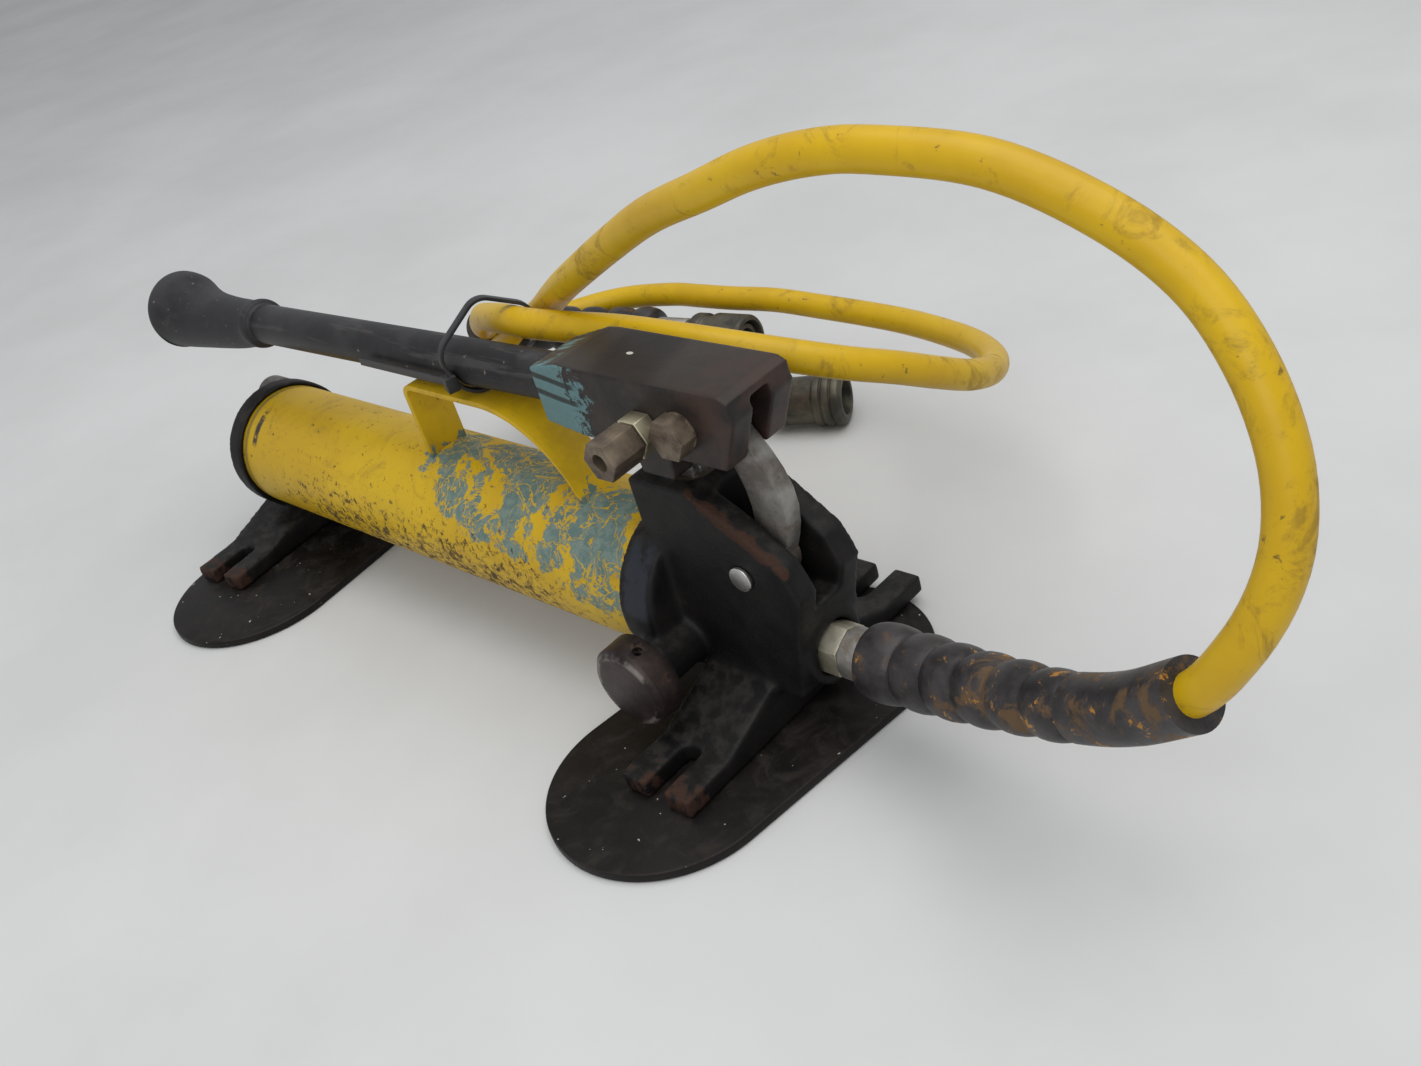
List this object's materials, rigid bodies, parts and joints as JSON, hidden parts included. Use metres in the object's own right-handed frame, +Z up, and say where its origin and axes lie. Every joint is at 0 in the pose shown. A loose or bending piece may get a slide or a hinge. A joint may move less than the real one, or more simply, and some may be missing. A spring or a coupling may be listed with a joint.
{
  "type": "hydraulic hand pump",
  "caption": "Hand-lever hydraulic pump: yellow tube reservoir on two base plates, slotted cast feet, pivoting handle with rubber grip, release knob, and a looped hose with a coupler.",
  "frame": {"origin": "on the front base plate's resting face, below the pump's centreline and the middle of the front foot", "axes": "+X from the handle's grip to the hose outlet, +Y to the side away from the release knob, +Z up"},
  "size_m": [0.7461, 0.3741, 0.2844],
  "materials": {
    "yellow_paint": "worn gloss over an older coat",
    "black_paint": "worn satin, rusting",
    "brown_steel": "worn, oxidised",
    "dark_steel": "dull, scuffed",
    "grey_steel": "dull",
    "bright_steel": "ground",
    "bolt_steel": "oxidised",
    "zinc": "yellow-passivated zinc",
    "black_rubber": "matt, marked",
    "yellow_hose": "satin jacket, dirty",
    "black_nylon": "satin",
    "coupler_steel": "dark, ringed"
  },
  "bodies": {
    "pump": {"base_plate_front": "black_paint", "base_plate_rear": "black_paint", "head_casting": "black_paint", "rear_cap": "black_paint", "reservoir_tube": "yellow_paint", "reservoir_seals": "black_rubber", "tie_rod": "grey_steel", "tie_rod_nut": "grey_steel", "carry_strap": "yellow_paint", "intake_tube": "bright_steel", "intake_screen": "bright_steel", "plunger_gland": "grey_steel", "plunger_seals": "black_rubber", "suction_ball": "bright_steel", "suction_spring": "bright_steel", "discharge_ball": "bright_steel", "discharge_spring": "bright_steel", "relief_plug": "bright_steel", "relief_ball": "bright_steel", "relief_spring": "bright_steel", "release_seal": "black_rubber", "link_pin": "bolt_steel", "link_pin_clip": "bolt_steel", "outlet_adapter": "zinc", "hose_ferrule": "grey_steel", "hose_guard": "black_rubber", "hose": "yellow_hose", "coupler_cap": "coupler_steel"},
    "handle": {"beam": "brown_steel", "handle_tube": "dark_steel", "grip": "black_rubber", "link_bolt": "bolt_steel", "link_bolt_nut": "bolt_steel", "plunger_bolt": "bolt_steel", "plunger_jam_nut": "zinc", "cable_tie": "black_nylon", "end_guard": "black_rubber", "end_ferrule": "grey_steel", "coupler_body": "coupler_steel"},
    "link": {"link": "grey_steel"},
    "plunger": {"plunger": "bright_steel"},
    "release": {"release_knob": "brown_steel", "release_stem": "bright_steel"},
    "filler": {"fill_plug": "grey_steel"},
    "coupling_ring": {"coupler_collar": "coupler_steel"}
  },
  "joints": [
    {"name": "handle_lift", "type": "hinge", "parent": "pump", "child": "handle", "pos_m": [0.006, 0, 0.1595], "axis": [0, 1, 0], "range_deg": [0, 45], "deforming": ["hose"]},
    {"name": "link_swing", "type": "hinge", "parent": "handle", "child": "link", "pos_m": [0.006, 0, 0.1595], "axis": [0, 1, 0], "range_deg": [-45, 0]},
    {"name": "plunger_stroke", "type": "slide", "parent": "pump", "child": "plunger", "axis": [0, 0, 1], "range_m": [0, 0.01659]},
    {"name": "release_turn", "type": "hinge", "parent": "pump", "child": "release", "pos_m": [-0.03, -0.045, 0.041], "axis": [0, -1, 0], "range_deg": [0, 180]},
    {"name": "fill_plug_turn", "type": "hinge", "parent": "pump", "child": "filler", "pos_m": [-0.424, 0.015, 0.0826], "axis": [-1, 0, 0], "range_deg": [0, 180]},
    {"name": "coupler_collar_turn", "type": "hinge", "parent": "handle", "child": "coupling_ring", "pos_m": [-0.222, 0.193, 0.059], "axis": [0.9903, 0.1392, 0], "continuous": true}
  ],
  "couplings": [
    {"joint": "link_swing", "follows": "handle_lift", "ratio": -1},
    {"joint": "plunger_stroke", "follows": "handle_lift", "m_per_rad": 0.021112}
  ]
}
